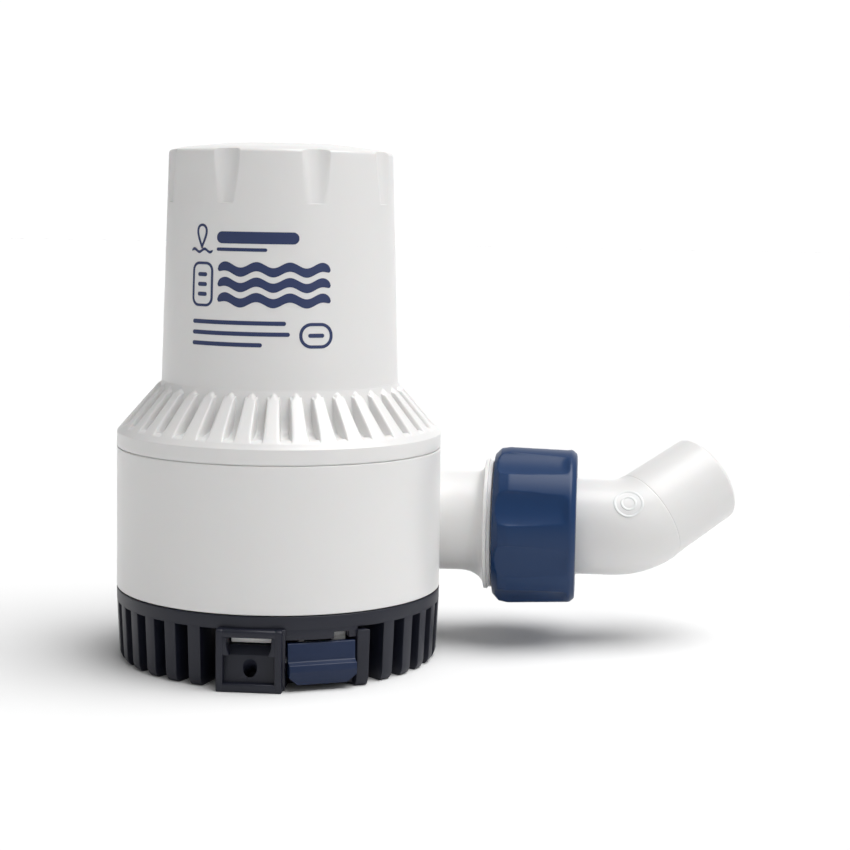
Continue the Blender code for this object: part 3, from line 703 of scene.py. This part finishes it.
def strainer():
    shell = Build()
    band = rounded(
        [(BODY_R - 2.6, BAND_TOP, 0.2), (BODY_R - 2.6, 19.6), (37.5, 19.6, 0.2), (37.5, SLOT_TOP, 0.2),
         (BODY_R - 0.05, SLOT_TOP, 0.4), (BODY_R, BAND_TOP, 0.35)], closed=True)
    shell.lathe(band, 256)
    tray = [
        (0.01, 0), (12, 0, 0.4), (12.8, 1.5), (37.5, 1.5), (37.5, 0, 0.3), (39.5, 0, 0.3), (39.5, 4.2, 0.5),
        (0.01, 4.2),
    ]
    shell.lathe(rounded(tray), 160)
    # Fins, and wider posts beside the screw tabs and latches
    fin = rounded(
        [
            (37.9, 0.0, 0.3), (49.0, 0.0, 1.4), (50.0, 2.0, 4.0), (BODY_R - 0.12, 16.5),
            (BODY_R - 0.03, SLOT_TOP + 0.6), (37.9, SLOT_TOP + 0.6),
        ],
        closed=True,
    )
    for k in range(RIBS):
        az = FIN_PITCH * k
        near = (az % 180 + 90) % 180 - 90
        if -11 < near < LATCH_AZ + BAY_HALF + 7:
            continue
        bm_fin(shell, fin, az)
    shell_obj = shell.done("strainer_shell", NAVY, 30)
    place(shell_obj, "base", "navy_plastic", "strainer_base")
    details = Build()
    for az in (0, 180):
        screw_tab(details, az)
        latch_bay(details, az + LATCH_AZ)
    place(details.done("strainer_tabs", NAVY, 30), "base", "navy_plastic", "strainer_base")


def between(shell, near, far, place_at):
    """Solid between two outlines of 3-D points, with rounded edges."""
    bm = bmesh.new()
    rows = [[bm.verts.new(p) for p in outline] for outline in (near, far)]
    bm.faces.new(rows[0])
    bm.faces.new(list(reversed(rows[1])))
    n = len(near)
    for i in range(n):
        bm.faces.new([rows[0][i], rows[0][(i + 1) % n], rows[1][(i + 1) % n], rows[1][i]])
    bmesh.ops.recalc_face_normals(bm, faces=bm.faces)
    round_edges(bm, 0.35)
    shell.add([tuple(v.co) for v in bm.verts], [tuple(v.index for v in f.verts) for f in bm.faces], place_at)
    bm.free()


def bm_fin(shell, outline, az):
    """A fin between two parallel-sided slots: narrower inside, wider at the rim."""
    half = math.radians(FIN_PITCH / 2)
    near, far = ([(x, side * (x * half - SLOT_HALF_W), y) for x, y in outline] for side in (-1, 1))
    between(shell, near, far, polar(az))


def screw_tab(shell, az):
    """Foot with a recessed seat for a slanting screw, and a window onto the body's lug."""
    up, front = upright(az), across(az)
    half = TAB_HALF
    top = SLOT_TOP + 0.6
    # Cheeks either side of the seat, and the step above it
    cheek = rounded([(38.5, 0, 0.3), (TAB_Y, 0, 0.6), (TAB_Y, top, 1.0), (38.5, top)], closed=True)
    shell.slab(cheek, -half, -7.6, 0.35, up)
    shell.slab(cheek, 7.6, half, 0.35, up)
    sill = rounded([(38.5, 0), (TAB_Y, 0, 0.6), (TAB_Y, 2.6, 0.5), (50.4, 2.6), (38.5, 2.6)], closed=True)
    shell.slab(sill, -7.8, 7.8, 0.2, up)
    lintel = rounded([(46.9, 16.2, 0.3), (TAB_Y, 16.2, 0.5), (TAB_Y, top, 1.0), (46.9, top)], closed=True)
    shell.slab(lintel, -7.8, 7.8, 0.2, up)
    # Window jambs, with the chute below narrowing towards the seat
    for side in (-1, 1):
        jamb = [(6.6, 16.4), (6.6, 13.4), (5.7, 10.9), (7.8, 10.9), (7.8, 16.4)]
        jamb = [(side * x, y) for x, y in jamb]
        shell.slab(jamb if side < 0 else jamb[::-1], 47.4, TAB_Y - 0.1, 0.25, front)
    chute = [(44.0, 2.0), (50.7, 2.0), (49.95, 10.6, 0.5), (48.2, 13.2, 0.4), (44.0, 13.2, 0.3)]
    wedge(shell, rounded(chute, closed=True), up)
    shell.slab(box_outline(-7.8, 7.8, 2.0, 18.0, 0.2), 38.5, 43.8, 0.0, front)


def wedge(shell, outline, up):
    """The seat's plate with a slanting round hole through it, cut with a Boolean."""
    plate_obj = Build().slab(outline, -7.8, 7.8, 0.0, up).done("seat_plate", NAVY, 30)
    dip = Matrix.Translation((50.4, 0, 6.3)) @ Matrix.Rotation(math.radians(-125), 4, "Y")
    at = up @ Matrix.Rotation(math.radians(-90), 4, "X") @ dip
    bevelled = [(0.001, -3), (2.9, -3), (2.9, -1.6), (1.95, 0.2), (1.9, 0.9, 0.3), (1.9, 16), (0.001, 16)]
    tool = Build().lathe(rounded(bevelled), 64, at).done("seat_drill", NAVY)
    carve(plate_obj, tool, "DIFFERENCE")
    me = plate_obj.data
    shell.add([tuple(v.co / MM) for v in me.vertices], [tuple(f.vertices) for f in me.polygons])
    bpy.data.objects.remove(plate_obj)


def latch_bay(shell, az):
    """Side walls, back wall and lintel around the latch lever."""
    front = across(az)
    slope = math.tan(math.radians(BAY_HALF))
    # Right-hand post with its foot; the left-hand wall is part of the tab's block
    post_out = math.tan(math.radians(16.4))
    outline = rounded(
        [
            (37.9, 0, 0.3), (49.2, 0, 1.2), (50.1, 2.2, 3.0), (BODY_R - 0.12, 16.5),
            (BODY_R - 0.05, SLOT_TOP + 0.6), (37.9, SLOT_TOP + 0.6),
        ],
        closed=True,
    )
    post = [(x - 0.35, min(y, 17.2)) for x, y in outline]
    leaning_slab(shell, post, slope, post_out, polar(az))
    leaning_slab(shell, outline, -slope * 1.14, -slope, polar(az))
    foot = [(7.4, 1.7), (11.0, 0.0), (12.6, 0.0), (12.6, 4.5), (7.4, 4.5)]
    shell.slab(foot, 43.0, 47.2, 0.2, front)
    shell.slab(box_outline(-9.2, 9.2, 0.0, SLOT_TOP + 0.3, 0.3), 37.9, 40.3, 0.1, front)
    # Lintel below the band, with a small slot through it
    for x0, x1, low in ((-11.2, 3.7, 15.2), (8.4, 11.2, 15.2), (3.5, 8.6, 17.1)):
        arc = [(BODY_R - 0.1) * math.cos(math.asin(t / BODY_R)) for t in np.linspace(x0, x1, 12)]
        outer = list(zip(arc, np.linspace(x0, x1, 12)))
        shell.slab([(47.0, x1), (47.0, x0)] + outer, low, SLOT_TOP + 0.5, 0.15, polar(az))


def leaning_slab(shell, outline, near, far, place_at):
    """Slab between two radial planes, given by their slopes."""
    sides = ([(x, slope * x, y) for x, y in outline] for slope in (near, far))
    between(shell, *sides, place_at)


def round_edges(bm, radius):
    hard = [e for e in bm.edges if e.calc_face_angle(0) > math.radians(50)]
    bmesh.ops.bevel(bm, geom=hard, offset=radius, segments=3, profile=0.5, affect="EDGES", clamp_overlap=True)
    bm.verts.index_update()


strainer()

# ---------------------------------------------------------------- latch levers
LEVER_HALF, BARREL_HALF = 10.2, 9.3


def lever(node, body, az):
    plate_side = rounded(
        [
            (48.2, 14.3, 0.3), (50.3, 14.3, 0.5), (50.55, 8.8, 0.8), (52.3, 8.1, 0.5), (52.6, 6.2, 0.7),
            (51.3, 2.0, 0.5), (49.5, 2.0, 0.4), (48.9, 7.4, 0.4), (48.2, 10.0),
        ],
        closed=True,
        steps=4,
    )
    barrel_side = [(44.9, 7.2, 0.9), (49.4, 6.9), (49.4, 10.8), (44.9, 10.5, 0.9)]
    barrel_side = rounded(barrel_side, closed=True, steps=4)
    plate = Build().slab(plate_side, -LEVER_HALF, LEVER_HALF, 0.35, upright(az), steps=3)
    obj = plate.done(node + "_plate", BLUE, 30)
    # The lip's lower corners are cut off at a slant
    for side in (-1, 1):
        corner = [(side * 7.4, 1.0), (side * 7.4, 2.0), (side * 11.0, 5.2), (side * 12.0, 1.0)]
        carve(obj, Build().slab(corner[::side], 40, 56, 0.0, across(az)).done("corner", BLUE), "DIFFERENCE")
    shell = Build()
    shell.add([tuple(v.co / MM) for v in obj.data.vertices], [tuple(f.vertices) for f in obj.data.polygons])
    bpy.data.objects.remove(obj)
    shell.slab(barrel_side, -BARREL_HALF, BARREL_HALF, 0.35, upright(az))
    catch = rounded([(46.2, 12.9, 0.3), (49.2, 12.9, 0.1), (49.2, 14.1, 0.1), (47.0, 14.1, 0.5)], closed=True)
    shell.slab(catch, -4, 4, 0.2, upright(az))
    # The levers take the darker copy of the blue resin, which paints shade on them.
    place(shell.done(node + "_shell", SHADED_LEVER_BLUE, 30), body, "blue_plastic", node)


lever("latch_front", "front_latch", LATCH_AZ)
lever("latch_rear", "rear_latch", LATCH_AZ + 180)

# ---------------------------------------------------------------- union nut
NUT_LOBES = 9
NUT_PHASE = math.radians(-1.1)
SCALLOP_HALF = math.radians(12.7)
SCALLOP_R = 21.0


def round_outlet(x, radius, turn):
    """Ring of points about the outlet's axis."""
    return np.stack([x + 0 * turn, OUT_Y + radius * np.cos(turn), OUT_Z + radius * np.sin(turn)], -1)


def union_nut():
    out = rounded(
        [
            (19.6, NUT_X0, 0.3), (22.9, NUT_X0, 0.5), (NUT_R - 0.55, NUT_X0 + 2.1, 0.9),
            (NUT_R, NUT_X0 + 5.0, 5.0), (NUT_R - 0.8, NUT_X1 - 1.7, 1.6), (23.6, NUT_X1 - 0.15, 1.2),
            (22.4, NUT_X1, 0.4), (16.2, NUT_X1, 0.4), (16.2, NUT_X1 - 4.9, 0.2), (19.3, NUT_X1 - 4.9, 0.2),
        ],
        steps=6,
    )
    out = np.array(thinned(out, 0.7))
    start = next(i for i, p in enumerate(out) if p[0] > 22.0)
    end = len(out) - 1 - next(i for i, p in enumerate(out[::-1]) if p[0] > 23.0)
    lobe = TAU / NUT_LOBES
    # More columns near the scallop's edges
    edges = SCALLOP_HALF / lobe * np.array([0.94, 0.97, 1.03, 1.06])
    share = np.sort(np.concatenate([np.linspace(-0.5, 0.5, 40, endpoint=False), -edges, edges]))
    off = np.tile(share * lobe, NUT_LOBES)
    turn = np.concatenate([share * lobe + NUT_PHASE + k * lobe for k in range(NUT_LOBES)])
    edge = NUT_R - 0.25
    hub = edge * math.cos(SCALLOP_HALF) + math.sqrt(SCALLOP_R**2 - (edge * math.sin(SCALLOP_HALF)) ** 2)
    scoop = hub * np.cos(off) - np.sqrt(np.clip(SCALLOP_R**2 - (hub * np.sin(off)) ** 2, 0, None))
    rows = []
    for i, (r, x) in enumerate(out):
        radius = r + 0 * turn
        if start <= i <= end:
            # Scallop runs out in a rounded end short of the outer face
            rise = np.clip((x - (NUT_X1 - 5.4)) / 2.9, 0, 1)
            width = np.sqrt(np.clip(1 - rise**2, 0, 1))
            deep = np.clip(r - scoop, 0, None) * (1 - rise**2.5)
            inside = smoothstep((SCALLOP_HALF * (0.25 + 0.75 * width) - np.abs(off)) / 0.03 + 0.5)
            bite = deep * inside
            radius = r - bite
        rows.append(round_outlet(x, radius, turn))
    # Thread inside, from the outer shoulder back to the open end
    for x in np.arange(NUT_X1 - 5.2, NUT_X0 + 0.5, -0.22):
        r = 19.55 + 0.9 * thread_depth(x, turn, NUT_X0 + 0.6, NUT_X1 - 6)
        rows.append(round_outlet(x, r, turn))
    rows.append(rows[0])
    place(Build().grid(np.array(rows)).done("union_nut_shell", BLUE, 28), "nut", "blue_plastic", "union_nut")


union_nut()

# ---------------------------------------------------------------- elbow
BEND = math.radians(41.0)
SWIVEL = math.radians(45.0)
BEND_X, BEND_R = 111.5, 17.0
TUBE_R, SPIGOT_R, SPIGOT_L = 15.6, 14.6, 32.9
FLANGE_R = 18.8
MARK_X = 108.2  # moulded rings on the elbow's side
MARK_OUT = Vector((0.12, -0.76, 0.64))
OUT_DIR = Vector((math.cos(BEND), math.sin(BEND) * math.sin(SWIVEL), math.sin(BEND) * math.cos(SWIVEL)))
CORNER = Vector((BEND_X, OUT_Y, OUT_Z))
LEAN = (OUT_DIR - Vector((math.cos(BEND), 0, 0))).normalized()


def raised_ring(shell, middle, outwards, radius):
    """Low round bead moulded onto the surface built so far, seen from middle along outwards."""
    tree = BVHTree.FromPolygons(shell.verts, shell.faces)
    out = outwards.normalized()
    u = out.cross((1, 0, 0)).normalized()
    v = out.cross(u)
    turn = np.arange(72) * TAU / 72
    path = []
    for a in turn:
        start = middle + (u * math.cos(a) + v * math.sin(a)) * radius + out * 30
        path.append(tree.ray_cast(start, -out)[0])
    rows = []
    for b in np.arange(12) * TAU / 12:
        across_bead, up = 0.45 * math.cos(b), 0.13 * math.sin(b)
        rows.append([
            p + (u * math.cos(a) + v * math.sin(a)) * across_bead + out * up for p, a in zip(path, turn)
        ])
    shell.grid(np.array(rows), wrap_v=True)


def elbow():
    x = Vector((1, 0, 0))
    reach = BEND_R * math.tan(BEND / 2)
    hub = CORNER - x * reach + LEAN * BEND_R
    stations = []
    back = FLANGE_X + 3.0
    flange = [
        (BORE_R, FLANGE_X + 0.4), (BORE_R, FLANGE_X, 0.2), (FLANGE_R, FLANGE_X, 0.5), (FLANGE_R, back, 0.4),
        (TUBE_R, back, 0.5), (TUBE_R, FLANGE_X + 5),
    ]
    for r, along in rounded(flange, steps=4):
        stations.append(((along, OUT_Y, OUT_Z), x, r))
    for share in (0.3, 0.6, 1.0):
        along = FLANGE_X + 5 + (BEND_X - reach - FLANGE_X - 5) * share
        stations.append(((along, OUT_Y, OUT_Z), x, TUBE_R))
    for i in range(1, 17):
        t = BEND * i / 17
        d = math.cos(t) * x + math.sin(t) * LEAN
        stations.append((hub + BEND_R * (math.sin(t) * x - math.cos(t) * LEAN), d, TUBE_R))
    seam = reach + 0.6
    inner = BORE_R - 0.4
    spigot = rounded(
        [
            (TUBE_R, reach), (TUBE_R, seam, 0.15), (TUBE_R - 0.35, seam + 0.25, 0.15),
            (TUBE_R - 0.22, seam + 0.6, 0.2), (TUBE_R - 0.3, reach + 4), (SPIGOT_R + 0.3, SPIGOT_L - 2.6),
            (SPIGOT_R + 0.25, SPIGOT_L - 1.3, 0.4), (SPIGOT_R - 0.9, SPIGOT_L, 0.4), (inner, SPIGOT_L, 0.5),
            (inner, SPIGOT_L - 2), (inner, reach),
        ],
        steps=6,
    )
    for r, along in spigot:
        stations.append((CORNER + OUT_DIR * along, OUT_DIR, r))
    for i in range(16, 0, -1):
        t = BEND * i / 17
        d = math.cos(t) * x + math.sin(t) * LEAN
        stations.append((hub + BEND_R * (math.sin(t) * x - math.cos(t) * LEAN), d, BORE_R))
    shell = Build().tube(stations, 160, closed=True)
    for radius in (4.4, 2.2):
        raised_ring(shell, Vector((MARK_X, OUT_Y, OUT_Z)), MARK_OUT, radius)
    place(shell.done("elbow_shell", WHITE, 30), "elbow", "white_plastic", "outlet_elbow")


elbow()

# ---------------------------------------------------------------- cable gland
def gland():
    at = Matrix.Translation((0, 0, 99.0)) @ Matrix.Rotation(math.radians(-90), 4, "X")
    outline = [
        (2.2, 30.9, 0.2), (6.4, 30.9, 0.3), (6.4, 32.2, 0.2), (5.5, 32.3), (5.5, 37.0), (7.6, 37.2, 0.5),
        (7.6, 39.6, 0.7),
    ]
    for k in range(3):  # ribs that let the sleeve flex
        z = 40.4 + 2.3 * k
        crest, root = 5.3 - 0.5 * k, 4.3 - 0.4 * k
        outline += [(crest, z, 0.3), (crest, z + 1.2, 0.3), (root, z + 1.4, 0.3), (root, z + 2.2, 0.3)]
    outline += [(3.6, 48.0, 0.5), (2.2, 48.0, 0.3)]
    shell = Build().lathe(rounded(outline, closed=True, steps=4), 96, at)
    place(shell.done("cable_gland_shell", RUBBER, 30), "pump_body", "rubber", "cable_gland")


gland()

# ---------------------------------------------------------------- floor, light and camera
def soft_light(name, where, aim, size, watts, colour=(1, 1, 1)):
    data = bpy.data.lights.new(name, "AREA")
    data.shape = "RECTANGLE"
    data.size, data.size_y = size
    data.energy = watts
    data.color = colour
    obj = bpy.data.objects.new(name, data)
    bpy.context.scene.collection.objects.link(obj)
    obj.location = where
    obj.rotation_euler = (Vector(aim) - Vector(where)).to_track_quat("-Z", "Y").to_euler()


def floor():
    mat = new_material("floor", (0.8, 0.8, 0.8), 0.8, Specular_IOR_Level=0.0)[0]
    half = 6000
    corners = [(-half, -half, 0), (half, -half, 0), (half, half, 0), (-half, half, 0)]
    mesh_object("floor", corners, [(0, 1, 2, 3)], mat)


def backdrop():
    """Even grey light from all round, with a white sheet behind the object."""
    world = bpy.data.worlds.new("studio")
    world.use_nodes = True
    nodes, links = world.node_tree.nodes, world.node_tree.links
    where = nodes.new("ShaderNodeTexCoord")
    behind = nodes.new("ShaderNodeVectorMath")
    behind.operation = "DOT_PRODUCT"
    behind.inputs[1].default_value = (0, 1, 0)
    links.new(where.outputs["Generated"], behind.inputs[0])
    strength = ranged(nodes, links, behind.outputs["Value"], 0.34, 1.04, 0.84, 0.93)
    links.new(strength, nodes["Background"].inputs["Strength"])
    nodes["Background"].inputs["Color"].default_value = (1, 1, 1, 1)
    bpy.context.scene.world = world


def sunlight(name, direction, strength, angle_deg):
    data = bpy.data.lights.new(name, "SUN")
    data.energy = strength
    data.angle = math.radians(angle_deg)
    obj = bpy.data.objects.new(name, data)
    bpy.context.scene.collection.objects.link(obj)
    obj.rotation_euler = (-Vector(direction)).to_track_quat("-Z", "Y").to_euler()


def camera():
    data = bpy.data.cameras.new("camera")
    data.sensor_width = 36.0
    data.lens = 78.59
    data.clip_start, data.clip_end = 0.01, 50.0
    obj = bpy.data.objects.new("camera", data)
    bpy.context.scene.collection.objects.link(obj)
    ahead = Vector((-0.0866, 0.9893, -0.1177)).normalized()
    level = Vector((0.9962, 0.0872, 0.0)).normalized()
    up = level.cross(ahead)
    roll = math.radians(0.89)
    right = level * math.cos(roll) + up * math.sin(roll)
    up = right.cross(ahead)
    turn = Matrix((right, up, -ahead)).transposed().to_4x4()
    obj.matrix_world = Matrix.Translation((0.0959, -0.573, 0.1417)) @ turn
    bpy.context.scene.camera = obj


bpy.context.scene.view_settings.view_transform = "Standard"
floor()
backdrop()
sunlight("overhead", (0.36, -0.02, 0.93), 3.1, 50)
soft_light("strip", (0.75, -0.75, 0.45), (0, 0, 0.08), (0.25, 0.7), 0.7)
camera()
